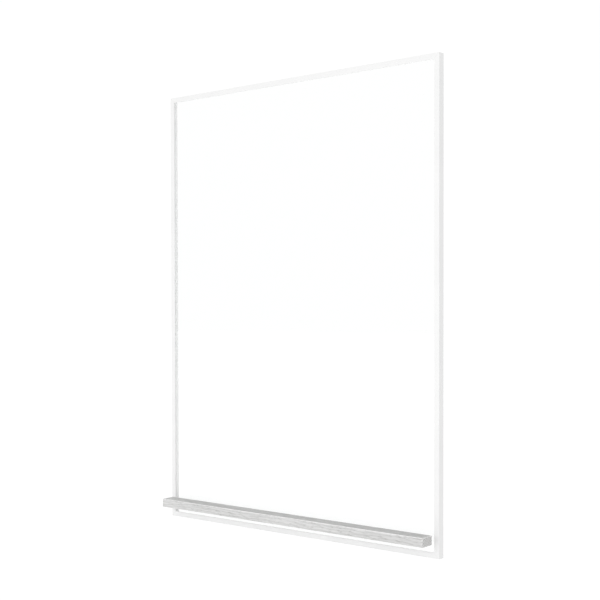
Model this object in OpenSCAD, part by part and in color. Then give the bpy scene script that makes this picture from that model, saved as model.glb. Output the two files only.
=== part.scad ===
// Framed glass sneeze guard with a timber ledge.
//
// Four mitred aluminium members hold a toughened pane. A timber ledge stands in front of the
// pane on through-glass fixings. Tapped blocks in the rails take the bolts of whatever holds it.
//
// Axes: +X across the guard, +Y towards the rear, +Z up.
// Origin: the middle of the bottom rail's underside.

/* [Panel] */
// Overall width over the frame
panel_w = 900; // [500:1:1800]
// Overall height over the frame
panel_h = 1200; // [500:1:2000]

/* [Frame section] */
// Width of each member seen from the front
frame_sight = 14; // [14:0.5:30]
// How much narrower the frame is behind the pane, which keeps its inner side out of sight
rear_step = 4; // [0:0.5:4]
// Depth of each member from front to rear
frame_depth = 20; // [18:0.5:40]
// Wall thickness of the extrusion
frame_wall = 1.4; // [1:0.1:2]
// Radius of the section's four outside edges
frame_edge_r = 0.8; // [0.2:0.1:1]

/* [Corner keys] */
// Length of each leg of a corner key, from the outside of the frame
key_leg = 36; // [30:1:60]
// Distance of each key's screw from the outside of the frame
key_screw_at = 25; // [20:1:28]
// Clearance between a key or a block and the chamber around it
key_gap = 0.15; // [0.1:0.05:0.3]
// Bevel on the ends of the keys' legs and of the fixing blocks
key_bevel = 1; // [0.5:0.1:2]

/* [Grub screws] */
// Thread diameter of the grub screws
grub_d = 4; // [3:1:5]
// Size across flats of the grub screws' sockets
grub_key = 2; // [1.5:0.5:2.5]
// Depth of the grub screws' sockets
grub_key_depth = 2; // [1.5:0.5:3]
// How far a tightened grub screw ends below the rear wall
grub_recess = 1.2; // [0.5:0.1:2]
// Diameter of the access holes in the frame's rear wall
access_d = 5; // [5:0.5:7]

/* [Pane and glazing] */
// Thickness of the pane
glass_thickness = 5; // [4:1:6]
// How far the pane reaches in behind the frame's front lip
glass_bite = 8; // [6:0.5:9]
// Thickness of the gasket on each face of the pane
gasket_leg = 0.8; // [0.5:0.1:1.2]
// Thickness of the gasket across the edge of the pane
gasket_base = 1; // [0.5:0.1:1.5]
// How far the gasket's lips stop short of the frame's inner edge
gasket_set_in = 0.3; // [0.2:0.1:2]
// Length of the two blocks that carry the pane
setting_block_len = 60; // [30:5:100]
// Distance of each setting block's middle from the side of the frame
setting_block_in = 220; // [100:5:240]
// Length of the blocks that locate the pane at the sides and top
location_block_len = 40; // [20:5:80]
// Distance of each location block's middle from the nearer corner of the frame
location_block_in = 150; // [80:5:200]
// Clearance between a block and each face of the glazing slot
block_gap = 0.3; // [0.1:0.1:0.6]

/* [Ledge] */
// Depth of the ledge from front to back
ledge_depth = 42; // [30:1:120]
// Thickness of the ledge
ledge_thickness = 23; // [18:1:40]
// Height of the ledge's underside above the bottom of the frame
ledge_z = 34; // [20:1:400]
// Gap between the ledge's ends and the inner edges of the stiles
ledge_end_gap = 0; // [0:0.5:100]
// Gap between the ledge's back and the pane
ledge_stand_off = 11.5; // [6:0.5:30]
// Rounding of the ledge's edges
ledge_edge_r = 1; // [0.5:0.1:3]

/* [Ledge fixings] */
// Number of fixings along the ledge
fixing_count = 4; // [2:1:8]
// Distance of the end fixings from the ends of the ledge
fixing_in = 70; // [30:1:100]
// Diameter of the holes in the pane
glass_hole_d = 10; // [10:0.5:16]
// Clearance around a bush in its hole in the pane
bush_gap = 0.2; // [0.1:0.05:0.5]
// Nominal diameter of the ledge screws
screw_d = 6; // [5:1:8]
// Clearance around a screw where it passes through a piece
screw_gap = 0.2; // [0.1:0.05:0.5]
// Clearance between the plain forms that stand for matching threads
thread_gap = 0.05; // [0.02:0.01:0.1]
// How far a screw reaches into its insert
screw_engagement = 10.5; // [8:0.5:12]
// Diameter of the screws' button heads
head_d = 10.5; // [9:0.5:14]
// Height of the button heads
head_h = 3.3; // [2.5:0.1:4.5]
// Size across flats of the screws' sockets
socket_key = 4; // [3:0.5:5]
// Depth of the screws' sockets
socket_depth = 2.1; // [1.5:0.1:2.5]
// Diameter of the spacers
spacer_d = 14; // [14:0.5:30]
// Bevel on both ends of each spacer
spacer_bevel = 0.6; // [0.2:0.1:1]
// Diameter of the washers
washer_d = 14; // [14:0.5:30]
// Thickness of the soft washers on both faces of the pane
soft_washer_t = 1.5; // [1:0.1:3]
// Thickness of the metal washers under the heads
cover_washer_t = 1.5; // [1:0.1:2]
// Outside diameter of the threaded inserts
insert_d = 9; // [8.5:0.5:12]
// Length of the threaded inserts
insert_len = 13; // [12:1:20]
// Diameter of the inserts' flanges
insert_flange_d = 12; // [11:0.5:14]
// Thickness of the inserts' flanges
insert_flange_t = 1.2; // [0.8:0.1:2]
// Depth of the timber hole past the end of an insert
insert_relief = 2; // [1:0.5:6]

/* [Frame fixings] */
// Distance between the two fixings in the top rail, and between those in the bottom rail
frame_fixing_spacing = 700; // [200:1:760]
// Bore of the tapped holes that take the bolts
tapped_d = 5; // [4:0.1:5.5]
// Diameter of the clearance holes for those bolts in the rails
bolt_hole_d = 6.6; // [6:0.1:8]
// Length of a fixing block
fixing_block_len = 40; // [36:1:80]
// Distance from a fixing block's tapped hole to its grub screw
block_screw_at = 12; // [8:1:14]

/* [Hidden] */
$fn = 48;

// Extra length that carries a cut past the face it leaves by
over = 1;

// Front to rear, the section is: front lip, glazing slot, middle wall, chamber, rear wall
slot_front = -frame_depth / 2 + frame_wall;
slot_rear = slot_front + glass_thickness + 2 * gasket_leg;
chamber_front = slot_rear + frame_wall;
chamber_rear = frame_depth / 2 - frame_wall;
rear_sight = frame_sight - rear_step;
chamber_mid = rear_sight / 2;

// What slides in the chamber has clearance all round, and is pressed against the rear wall
slider_out = frame_wall + key_gap;
slider_in = rear_sight - frame_wall - key_gap;
slider_front = chamber_front + 2 * key_gap;
slider_mid = (slider_front + chamber_rear) / 2;
grub_len = chamber_rear - chamber_front - grub_recess;
grub_hole_d = grub_d + 2 * thread_gap;

// Distances in from the outside of the frame
glass_edge = frame_sight - glass_bite;
gasket_out = glass_edge - gasket_base;
gasket_in = frame_sight - gasket_set_in;
gasket_rear_in = rear_sight - gasket_set_in;

// The pane's two faces
glass_front = slot_front + gasket_leg;
glass_rear = glass_front + glass_thickness;

// The ledge lines up with the inner edges of the stiles
ledge_len = panel_w - 2 * (frame_sight + ledge_end_gap);
ledge_back = glass_front - ledge_stand_off;
fixing_z = ledge_z + ledge_thickness / 2;
fixing_first = -ledge_len / 2 + fixing_in;
fixing_pitch = (ledge_len - 2 * fixing_in) / (fixing_count - 1);
fixing_xs = [for (i = [0:fixing_count - 1]) fixing_first + i * fixing_pitch];

// The stack on a ledge screw, from the spacer to the head
spacer_len = ledge_stand_off - soft_washer_t;
cover_washer_front = glass_rear + soft_washer_t;
head_front = cover_washer_front + cover_washer_t;
screw_len = head_front - ledge_back + screw_engagement;
clear_d = screw_d + 2 * screw_gap;

// Colours
coat_white = [0.95, 0.95, 0.95];
clear_glass = [0.82, 0.9, 0.89, 0.45];
pale_seal = [0.88, 0.88, 0.87];
block_grey = [0.35, 0.36, 0.37];
cast_alloy = [0.68, 0.69, 0.7];
steel = [0.74, 0.75, 0.76];
washed_timber = [0.76, 0.76, 0.75];
brass = [0.8, 0.66, 0.36];
soft_white = [0.88, 0.88, 0.86];
natural_nylon = [0.92, 0.9, 0.84];

// ---- Places ----

// A member's own frame has X inwards from the outside of the guard, Z along the member from
// its middle, and the guard's Y. This puts it on one side of the guard.
module on_side(side) {
    if (side == "left") translate([-panel_w / 2, 0, panel_h / 2]) children();
    if (side == "right") translate([panel_w / 2, 0, panel_h / 2]) mirror([1, 0, 0]) children();
    if (side == "bottom") rotate([0, -90, 0]) children();
    if (side == "top") translate([0, 0, panel_h]) mirror([0, 0, 1]) rotate([0, -90, 0]) children();
}

function side_length(side) = side == "left" || side == "right" ? panel_h : panel_w;

function has_fixings(side) = side == "top" || side == "bottom";

// From the bottom left corner of the guard to the corner at x_sign, z_sign
module at_corner(x_sign, z_sign) {
    translate([x_sign * panel_w / 2, 0, (1 + z_sign) * panel_h / 2])
        mirror([max(x_sign, 0), 0, 0])
            mirror([0, 0, max(z_sign, 0)])
                children();
}

// Both ends of a member
module at_both_ends() {
    children();
    mirror([0, 0, 1]) children();
}

// On the line of each ledge fixing, at y, with +Z turned to point forwards
module at_fixings(y) {
    for (x = fixing_xs) translate([x, y, fixing_z]) rotate([90, 0, 0]) children();
}

// ---- Shared shapes ----

module rounded_rectangle(w, d, r) {
    translate([r, 0]) square([w - 2 * r, d]);
    translate([0, r]) square([w, d - 2 * r]);
    for (x = [r, w - r], y = [r, d - r]) translate([x, y]) circle(r);
}

module ring(outer_d, inner_d, height) {
    difference() {
        cylinder(d = outer_d, h = height);
        translate([0, 0, -over]) cylinder(d = inner_d, h = height + 2 * over);
    }
}

// A bar of a section drawn in X and Y, with both ends mitred at 45 degrees
module mitred_bar(length) {
    intersection() {
        linear_extrude(length, center = true) children();
        rotate([90, 0, 0]) linear_extrude(2 * frame_depth, center = true) polygon([
            [0, -length / 2], [0, length / 2],
            [frame_sight, length / 2 - frame_sight], [frame_sight, frame_sight - length / 2]
        ]);
    }
}

// ---- Frame ----

module frame_section() {
    difference() {
        translate([0, -frame_depth / 2]) {
            rounded_rectangle(rear_sight, frame_depth, frame_edge_r);
            intersection() {
                rounded_rectangle(frame_sight, frame_depth, frame_edge_r);
                square([frame_sight, frame_wall]);
            }
        }
        translate([frame_wall, slot_front]) square([frame_sight, slot_rear - slot_front]);
        translate([frame_wall, chamber_front])
            square([rear_sight - 2 * frame_wall, chamber_rear - chamber_front]);
    }
}

module access_hole(along) {
    translate([chamber_mid, chamber_rear - over, along])
        rotate([-90, 0, 0]) cylinder(d = access_d, h = frame_wall + 2 * over);
}

module bolt_hole(along) {
    translate([-over, slider_mid, along])
        rotate([0, 90, 0]) cylinder(d = bolt_hole_d, h = frame_wall + 2 * over);
}

module frame_member(side) {
    length = side_length(side);
    color(coat_white) on_side(side) difference() {
        mitred_bar(length) frame_section();
        at_both_ends() access_hole(length / 2 - key_screw_at);
        if (has_fixings(side)) at_both_ends() {
            bolt_hole(frame_fixing_spacing / 2);
            access_hole(frame_fixing_spacing / 2 - block_screw_at);
        }
    }
}

module corner_key_outline() {
    polygon([
        [slider_out, slider_out + key_bevel], [slider_out + key_bevel, slider_out],
        [key_leg - key_bevel, slider_out], [key_leg, slider_out + key_bevel],
        [key_leg, slider_in - key_bevel], [key_leg - key_bevel, slider_in],
        [slider_in, slider_in],
        [slider_in, key_leg - key_bevel], [slider_in - key_bevel, key_leg],
        [slider_out + key_bevel, key_leg], [slider_out, key_leg - key_bevel]
    ]);
}

// The key in the bottom left corner, which the other three mirror
module corner_key(x_sign, z_sign) {
    color(cast_alloy) at_corner(x_sign, z_sign) difference() {
        translate([0, chamber_rear, 0])
            rotate([90, 0, 0]) linear_extrude(chamber_rear - slider_front) corner_key_outline();
        for (at = [[key_screw_at, chamber_mid], [chamber_mid, key_screw_at]])
            translate([at[0], chamber_front - over, at[1]])
                rotate([-90, 0, 0]) cylinder(d = grub_hole_d, h = frame_depth);
    }
}

// A cup-point grub screw, with its tip at the origin and its socket end at +Y
module grub_screw() {
    tip_bevel = grub_d / 4;
    rotate([-90, 0, 0]) difference() {
        union() {
            cylinder(d1 = grub_d - 2 * tip_bevel, d2 = grub_d, h = tip_bevel);
            translate([0, 0, tip_bevel]) cylinder(d = grub_d, h = grub_len - tip_bevel);
        }
        translate([0, 0, grub_len - grub_key_depth])
            cylinder(d = grub_key / cos(30), h = grub_key_depth + over, $fn = 6);
    }
}

module corner_screws() {
    color(steel) for (x_sign = [-1, 1], z_sign = [-1, 1]) at_corner(x_sign, z_sign)
        for (at = [[key_screw_at, chamber_mid], [chamber_mid, key_screw_at]])
            translate([at[0], chamber_front, at[1]]) grub_screw();
}

// ---- Pane and glazing ----

module glass_pane() {
    color(clear_glass) difference() {
        translate([glass_edge - panel_w / 2, glass_front, glass_edge])
            cube([panel_w - 2 * glass_edge, glass_thickness, panel_h - 2 * glass_edge]);
        at_fixings(glass_rear + over) cylinder(d = glass_hole_d, h = glass_thickness + 2 * over);
    }
}

module gasket(side) {
    color(pale_seal) on_side(side) mitred_bar(side_length(side)) difference() {
        translate([gasket_out, slot_front]) square([gasket_in - gasket_out, slot_rear - slot_front]);
        translate([glass_edge, glass_front]) square([frame_sight, glass_thickness]);
        translate([gasket_rear_in, glass_front]) square([frame_sight, frame_depth]);
    }
}

// Two blocks between the floor of the slot and the gasket, each with its middle at a distance
// in from the ends of the member
module glazing_blocks(side, length, in_from_end) {
    color(block_grey) on_side(side) at_both_ends()
        translate([frame_wall, slot_front + block_gap, side_length(side) / 2 - in_from_end - length / 2])
            cube([gasket_out - frame_wall, slot_rear - slot_front - 2 * block_gap, length]);
}

module setting_blocks() {
    glazing_blocks("bottom", setting_block_len, setting_block_in);
}

module side_blocks() {
    for (side = ["left", "right"]) glazing_blocks(side, location_block_len, location_block_in);
}

module top_blocks() {
    glazing_blocks("top", location_block_len, location_block_in);
}

// ---- Ledge ----

// A block with rounded edges, from the origin
module eased_block(size, r) {
    intersection() {
        linear_extrude(size[2]) rounded_rectangle(size[0], size[1], r);
        translate([0, size[1], 0])
            rotate([90, 0, 0]) linear_extrude(size[1]) rounded_rectangle(size[0], size[2], r);
        rotate([90, 0, 90]) linear_extrude(size[0]) rounded_rectangle(size[1], size[2], r);
    }
}

module ledge() {
    color(washed_timber) difference() {
        translate([-ledge_len / 2, ledge_back - ledge_depth, ledge_z])
            eased_block([ledge_len, ledge_depth, ledge_thickness], ledge_edge_r);
        at_fixings(ledge_back) {
            translate([0, 0, -over]) cylinder(d = insert_d, h = insert_len + insert_relief + over);
            translate([0, 0, -over]) cylinder(d = insert_flange_d, h = insert_flange_t + over);
        }
    }
}

module ledge_inserts() {
    bore_d = screw_d + 2 * thread_gap;
    color(brass) at_fixings(ledge_back) {
        ring(insert_d, bore_d, insert_len);
        ring(insert_flange_d, bore_d, insert_flange_t);
    }
}

module spacer() {
    difference() {
        union() {
            cylinder(d1 = spacer_d - 2 * spacer_bevel, d2 = spacer_d, h = spacer_bevel);
            translate([0, 0, spacer_bevel]) cylinder(d = spacer_d, h = spacer_len - 2 * spacer_bevel);
            translate([0, 0, spacer_len - spacer_bevel])
                cylinder(d1 = spacer_d, d2 = spacer_d - 2 * spacer_bevel, h = spacer_bevel);
        }
        translate([0, 0, -over]) cylinder(d = clear_d, h = spacer_len + 2 * over);
    }
}

module ledge_spacers() {
    color(cast_alloy) at_fixings(ledge_back + spacer_len) spacer();
}

module front_washers() {
    color(soft_white) at_fixings(glass_front) ring(washer_d, clear_d, soft_washer_t);
}

module glass_bushes() {
    color(natural_nylon) at_fixings(glass_rear)
        ring(glass_hole_d - 2 * bush_gap, clear_d, glass_thickness);
}

module rear_washers() {
    color(soft_white) at_fixings(cover_washer_front) ring(washer_d, clear_d, soft_washer_t);
}

module cover_washers() {
    color(steel) at_fixings(head_front) ring(washer_d, clear_d, cover_washer_t);
}

// A screw whose head bears on the origin, with its shank at +Z and its domed head at -Z
module button_screw() {
    tip_bevel = screw_d / 8;
    dome_r = (pow(head_d / 2, 2) + pow(head_h, 2)) / (2 * head_h);
    cylinder(d = screw_d, h = screw_len - tip_bevel);
    translate([0, 0, screw_len - tip_bevel])
        cylinder(d1 = screw_d, d2 = screw_d - 2 * tip_bevel, h = tip_bevel);
    difference() {
        intersection() {
            translate([0, 0, dome_r - head_h]) sphere(dome_r);
            translate([0, 0, -head_h]) cylinder(d = head_d, h = head_h);
        }
        translate([0, 0, -head_h - over])
            cylinder(d = socket_key / cos(30), h = socket_depth + over, $fn = 6);
    }
}

module ledge_screws() {
    color(steel) at_fixings(head_front) button_screw();
}

// ---- Frame fixings ----

module fixing_block_outline() {
    half = fixing_block_len / 2;
    polygon([
        [slider_out, key_bevel - half], [slider_out + key_bevel, -half],
        [slider_in - key_bevel, -half], [slider_in, key_bevel - half],
        [slider_in, half - key_bevel], [slider_in - key_bevel, half],
        [slider_out + key_bevel, half], [slider_out, half - key_bevel]
    ]);
}

// The tapped block at one end of a rail
module fixing_block(side, x_sign) {
    color(cast_alloy) on_side(side) mirror([0, 0, max(x_sign, 0)])
        translate([0, 0, frame_fixing_spacing / 2]) difference() {
            translate([0, chamber_rear, 0])
                rotate([90, 0, 0]) linear_extrude(chamber_rear - slider_front) fixing_block_outline();
            translate([0, slider_mid, 0]) rotate([0, 90, 0]) cylinder(d = tapped_d, h = frame_sight);
            translate([chamber_mid, chamber_front - over, -block_screw_at])
                rotate([-90, 0, 0]) cylinder(d = grub_hole_d, h = frame_depth);
        }
}

module block_screws() {
    color(steel) for (side = ["top", "bottom"]) on_side(side) at_both_ends()
        translate([chamber_mid, chamber_front, frame_fixing_spacing / 2 - block_screw_at])
            grub_screw();
}

// ---- Nodes ----

frame_member("top");  // top_rail
frame_member("bottom");  // bottom_rail
frame_member("left");  // left_stile
frame_member("right");  // right_stile
corner_key(-1, 1);  // corner_key_top_left
corner_key(1, 1);  // corner_key_top_right
corner_key(-1, -1);  // corner_key_bottom_left
corner_key(1, -1);  // corner_key_bottom_right
corner_screws();
glass_pane();
gasket("top");  // gasket_top
gasket("bottom");  // gasket_bottom
gasket("left");  // gasket_left
gasket("right");  // gasket_right
setting_blocks();
side_blocks();
top_blocks();
ledge();
ledge_inserts();
ledge_spacers();
front_washers();
glass_bushes();
rear_washers();
cover_washers();
ledge_screws();
fixing_block("top", -1);  // fixing_block_top_left
fixing_block("top", 1);  // fixing_block_top_right
fixing_block("bottom", -1);  // fixing_block_bottom_left
fixing_block("bottom", 1);  // fixing_block_bottom_right
block_screws();
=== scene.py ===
# %% [markdown]
# # A framed glass sneeze guard with a timber ledge
#
# A sneeze guard stands between guests and food. This one is a tall pane of toughened glass in a
# slim white aluminium frame, with a narrow ledge of grey-washed timber held off its lower front.
# Every part already exists as an exact model, in metres, in one shared frame: X runs across the
# guard, Y towards its rear and Z up, from the middle of the frame's underside. This lesson keeps
# most of those shapes and gives them their finishes. It rebuilds only the pane and the small
# turned and threaded parts, whose ground edges and threads the exact model leaves out.

# %% Load the guard and measure it
import math

import bmesh
import bpy
from mathutils import Matrix, Vector


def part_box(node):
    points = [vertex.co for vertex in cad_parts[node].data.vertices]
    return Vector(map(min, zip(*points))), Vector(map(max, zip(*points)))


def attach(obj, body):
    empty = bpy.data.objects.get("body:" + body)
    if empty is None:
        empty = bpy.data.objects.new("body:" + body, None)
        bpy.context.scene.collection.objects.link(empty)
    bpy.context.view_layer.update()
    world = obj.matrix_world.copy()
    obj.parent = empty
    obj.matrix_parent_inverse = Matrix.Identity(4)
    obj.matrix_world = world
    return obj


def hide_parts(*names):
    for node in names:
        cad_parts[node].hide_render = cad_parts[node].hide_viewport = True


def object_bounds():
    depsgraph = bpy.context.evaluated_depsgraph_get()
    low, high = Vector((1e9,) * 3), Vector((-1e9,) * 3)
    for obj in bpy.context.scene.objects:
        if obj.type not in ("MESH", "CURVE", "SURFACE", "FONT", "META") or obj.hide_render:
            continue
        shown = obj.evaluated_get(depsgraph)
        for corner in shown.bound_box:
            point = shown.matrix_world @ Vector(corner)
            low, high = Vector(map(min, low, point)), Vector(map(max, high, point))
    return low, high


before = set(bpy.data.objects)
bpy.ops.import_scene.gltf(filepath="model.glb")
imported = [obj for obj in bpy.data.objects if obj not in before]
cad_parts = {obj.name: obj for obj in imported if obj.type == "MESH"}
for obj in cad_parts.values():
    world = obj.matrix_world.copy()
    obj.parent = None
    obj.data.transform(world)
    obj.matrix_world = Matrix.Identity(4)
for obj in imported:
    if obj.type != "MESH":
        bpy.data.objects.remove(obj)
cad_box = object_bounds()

MM = 0.001
scene = bpy.context.scene
print("parts:", len(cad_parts), " overall:", [round(c, 4) for c in cad_box[1] - cad_box[0]])

# %% [markdown]
# ## The camera
#
# A product picture of a tall flat thing is taken from the side and about half way up, so that
# its uprights stay upright. The lens is a mild telephoto. A small lens shift lifts the frame of
# the picture while the camera stays almost level, as a view camera does for buildings.

# %% Place the camera
CAMERA_PLACE = (1.829, -2.236, 0.595)
CAMERA_TURN = 39.0
CAMERA_TILT = -1.1
CAMERA_ROLL = -0.11
CAMERA_LENS = 65.9
CAMERA_SHIFT = 0.0506


def turned_by(degrees, axis):
    return Matrix.Rotation(math.radians(degrees), 4, axis)


camera_data = bpy.data.cameras.new("camera")
camera_data.lens = CAMERA_LENS
camera_data.shift_y = CAMERA_SHIFT
camera = bpy.data.objects.new("camera", camera_data)
# At rest a camera looks straight down, so it is first tipped up by a right angle
camera.matrix_world = (
    Matrix.Translation(CAMERA_PLACE)
    @ turned_by(CAMERA_TURN, "Z")
    @ turned_by(90 + CAMERA_TILT, "X")
    @ turned_by(CAMERA_ROLL, "Z")
)
scene.collection.objects.link(camera)
scene.camera = camera
print("camera", CAMERA_LENS, "mm lens, turned", CAMERA_TURN, "degrees")

# %% [markdown]
# ## Helpers for node trees
#
# A sky, a finish and a Geometry Nodes setup are all trees: nodes, joined by links. A few short
# helpers keep the code that builds them readable. One adds a node, one joins two sockets, and
# the rest do the sums and textures that come back again and again. The sums take either
# another node's output or a plain number or vector, and feed() sorts out which.

# %% Add and join nodes


def place(tree, kind, settings=None, **values):
    """Adds a node, sets its own settings, and gives its inputs plain values by name."""
    node = tree.nodes.new(kind)
    for name, value in (settings or {}).items():
        setattr(node, name, value)
    for name, value in values.items():
        node.inputs[name.replace("_", " ")].default_value = value
    return node


def join(tree, out, into):
    tree.links.new(out, into)


def wire(tree, links):
    """Joins many nodes. Each link is a node and its output, then a node and its input."""
    for giver, output, taker, socket in links:
        join(tree, giver.outputs[output], taker.inputs[socket])


def feed(tree, value, socket):
    """Joins an output to a socket, or sets the socket to a plain value."""
    if isinstance(value, bpy.types.NodeSocket):
        join(tree, value, socket)
    else:
        socket.default_value = value


def grey(tone):
    return (tone, tone, tone, 1)


print("nodes can be added and joined")

# %% Do sums with nodes


def sum_node(tree, kind, operation, values):
    """A node that works out one operation on its values. Returns its output."""
    node = place(tree, kind, {"operation": operation})
    for value, socket in zip(values, node.inputs):
        feed(tree, value, socket)
    return node.outputs[0]


def math_node(tree, operation, *values):
    return sum_node(tree, "ShaderNodeMath", operation, values)


def vector_node(tree, operation, *values):
    return sum_node(tree, "ShaderNodeVectorMath", operation, values)


def split(tree, vector):
    """The X, Y and Z of a vector, as three outputs."""
    parts = place(tree, "ShaderNodeSeparateXYZ")
    join(tree, vector, parts.inputs["Vector"])
    return [parts.outputs[axis] for axis in "XYZ"]


def insets(tree, at, middle, half):
    """How far a point lies in from the faces of a box, along X, Y and Z."""
    from_middle = vector_node(tree, "ABSOLUTE", vector_node(tree, "SUBTRACT", at, middle))
    return split(tree, vector_node(tree, "SUBTRACT", half, from_middle))


def spread(tree, value, low, high, least=0.0, most=1.0, smooth=False):
    """Stretches the values from low to high over least to most, and stops at both ends."""
    curve = "SMOOTHSTEP" if smooth else "LINEAR"
    node = place(tree, "ShaderNodeMapRange", {"interpolation_type": curve})
    for bound, socket in zip((value, low, high, least, most), node.inputs):
        feed(tree, bound, socket)
    return node.outputs["Result"]


def noise(tree, vector, scale, detail, roughness=0.5):
    """A Noise texture that is read at a vector. Returns the node."""
    node = place(tree, "ShaderNodeTexNoise", Detail=detail, Roughness=roughness)
    join(tree, vector, node.inputs["Vector"])
    feed(tree, scale, node.inputs["Scale"])
    return node


print("nodes can do sums")

# %% [markdown]
# ## The studio
#
# White on white needs even light. The sky is a plain pale grey for everything that it lights,
# and pure white where the camera looks at it, straight or through the glass. A wide soft lamp in
# front makes the faces that look forwards the brightest, then the sides, then the tops. It
# stands low, so that some of its light gets in under the ledge and reaches the bottom rail. The
# floor glows by itself, so that it stays white and shows next to no shadow.

# %% Light the sky
SKY_LIGHT = 0.89
SKY_SEEN = 1.015

world = bpy.data.worlds.new("studio_sky")
world.use_nodes = True
scene.world = world
sky = world.node_tree
sky.nodes.clear()
sky_path = place(sky, "ShaderNodeLightPath").outputs
sky_lighting = place(sky, "ShaderNodeBackground", Color=grey(SKY_LIGHT))
sky_white = place(sky, "ShaderNodeBackground", Color=grey(SKY_SEEN))
sky_mix = place(sky, "ShaderNodeMixShader")
sky_out = place(sky, "ShaderNodeOutputWorld")
sky_seen = math_node(sky, "MAXIMUM", sky_path["Is Camera Ray"], sky_path["Is Transmission Ray"])
join(sky, sky_seen, sky_mix.inputs["Fac"])
wire(sky, (
    (sky_lighting, "Background", sky_mix, 1), (sky_white, "Background", sky_mix, 2),
    (sky_mix, "Shader", sky_out, "Surface"),
))
scene.view_settings.view_transform = "Standard"
print("sky lights at", SKY_LIGHT, "and shows at", SKY_SEEN)

# %% Set up the front lamp
LAMP_PLACE = Vector((0.4, -3.1, 0.7))
LAMP_AIM = Vector((0, 0, 0.6))
LAMP_WIDTH = 2.6
LAMP_HEIGHT = 1.1
LAMP_POWER = 22

lamp_data = bpy.data.lights.new("front_lamp", "AREA")
lamp_data.shape = "RECTANGLE"
lamp_data.size = LAMP_WIDTH
lamp_data.size_y = LAMP_HEIGHT
lamp_data.energy = LAMP_POWER
lamp = bpy.data.objects.new("front_lamp", lamp_data)
lamp_turn = (LAMP_AIM - LAMP_PLACE).to_track_quat("-Z", "Y").to_matrix().to_4x4()
lamp.matrix_world = Matrix.Translation(LAMP_PLACE) @ lamp_turn
scene.collection.objects.link(lamp)
print("front lamp", LAMP_POWER, "W,", LAMP_WIDTH, "by", LAMP_HEIGHT, "m")

# %% Lay the floor
FLOOR_REACH = 20
FLOOR_TONE = 0.15
FLOOR_GLOW = 0.91

floor_mesh = bpy.data.meshes.new("floor")
floor_corners = [(x * FLOOR_REACH, y * FLOOR_REACH, 0) for x, y in ((-1, -1), (1, -1), (1, 1), (-1, 1))]
floor_mesh.from_pydata(floor_corners, [], [(0, 1, 2, 3)])
floor = bpy.data.objects.new("floor", floor_mesh)
floor.location.z = cad_box[0].z
scene.collection.objects.link(floor)
floor_finish = bpy.data.materials.new("floor_white")
floor_finish.use_nodes = True
floor_shader = floor_finish.node_tree.nodes["Principled BSDF"]
floor_shader.inputs["Base Color"].default_value = grey(FLOOR_TONE)
floor_shader.inputs["Roughness"].default_value = 1.0
floor_shader.inputs["Specular IOR Level"].default_value = 0.0
floor_shader.inputs["Emission Color"].default_value = grey(1)
floor_shader.inputs["Emission Strength"].default_value = FLOOR_GLOW
floor_mesh.materials.append(floor_finish)
print("floor", 2 * FLOOR_REACH, "m square at z =", round(floor.location.z, 4))

# %% [markdown]
# ## Shared surface effects
#
# Real surfaces are never one flat colour. Four effects come back in several finishes here, so
# each is built once as a node group with named inputs, and every finish places it with its own
# values. A group gives out only numbers that change over the surface: the shader stays in the
# material. The patterns read real places in metres, so a pattern's size is a real size.

# %% Start a group
FLOAT, VECTOR = "NodeSocketFloat", "NodeSocketVector"


def new_group(name, inputs, output):
    """A shader node group with named inputs. Returns it with its inputs and its one output."""
    group = bpy.data.node_groups.new(name, "ShaderNodeTree")
    for socket, kind in inputs.items():
        group.interface.new_socket(socket, in_out="INPUT", socket_type=kind)
    group.interface.new_socket(output, in_out="OUTPUT", socket_type=FLOAT)
    group_in, group_out = group.nodes.new("NodeGroupInput"), group.nodes.new("NodeGroupOutput")
    return group, group_in.outputs, group_out.inputs[output]


print("ready for groups")

# %% [markdown]
# ### Mottle
#
# Powder, castings, rubber and nylon all vary softly from spot to spot. Mottle is a noise with a
# chosen grain size, spread between two values: for a colour it is a faint cloudiness, for
# roughness it breaks up the shine, and for bump it is the skin of the surface. A noise keeps
# mostly to the middle of its range, so that middle is stretched over the whole.

# %% Build the mottle group
NOISE_MIDDLE = (0.3, 0.7)

mottle, mottle_in, mottle_out = new_group(
    "mottle", {"Vector": VECTOR, "Grain": FLOAT, "Least": FLOAT, "Most": FLOAT}, "Value"
)
# Grain is the size of one spot in metres, and a noise wants spots for each metre
mottle_spots = math_node(mottle, "DIVIDE", 1.0, mottle_in["Grain"])
mottle_noise = noise(mottle, mottle_in["Vector"], mottle_spots, detail=3.0, roughness=0.55)
mottle_value = spread(
    mottle, mottle_noise.outputs["Fac"], *NOISE_MIDDLE, mottle_in["Least"], mottle_in["Most"]
)
join(mottle, mottle_value, mottle_out)
print("group", mottle.name)

# %% [markdown]
# ### Streaks
#
# Timber fibres, the die lines of an extrusion and the wipe marks on glass are all the same
# thing: a noise that is long one way and short across. The group squeezes its coordinates along
# X before the noise reads them. Length and Width are the size of one streak in metres.

# %% Build the streaks group
streaks, streaks_in, streaks_out = new_group(
    "streaks", {"Vector": VECTOR, "Length": FLOAT, "Width": FLOAT}, "Value"
)
streaks_scale = place(streaks, "ShaderNodeCombineXYZ")
for axis, side in (("X", "Length"), ("Y", "Width"), ("Z", "Width")):
    in_each_metre = math_node(streaks, "DIVIDE", 1.0, streaks_in[side])
    join(streaks, in_each_metre, streaks_scale.inputs[axis])
streaks_at = vector_node(streaks, "MULTIPLY", streaks_in["Vector"], streaks_scale.outputs["Vector"])
streaks_noise = noise(streaks, streaks_at, 1.0, detail=4.0, roughness=0.6)
join(streaks, streaks_noise.outputs["Fac"], streaks_out)
print("group", streaks.name)
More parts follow.
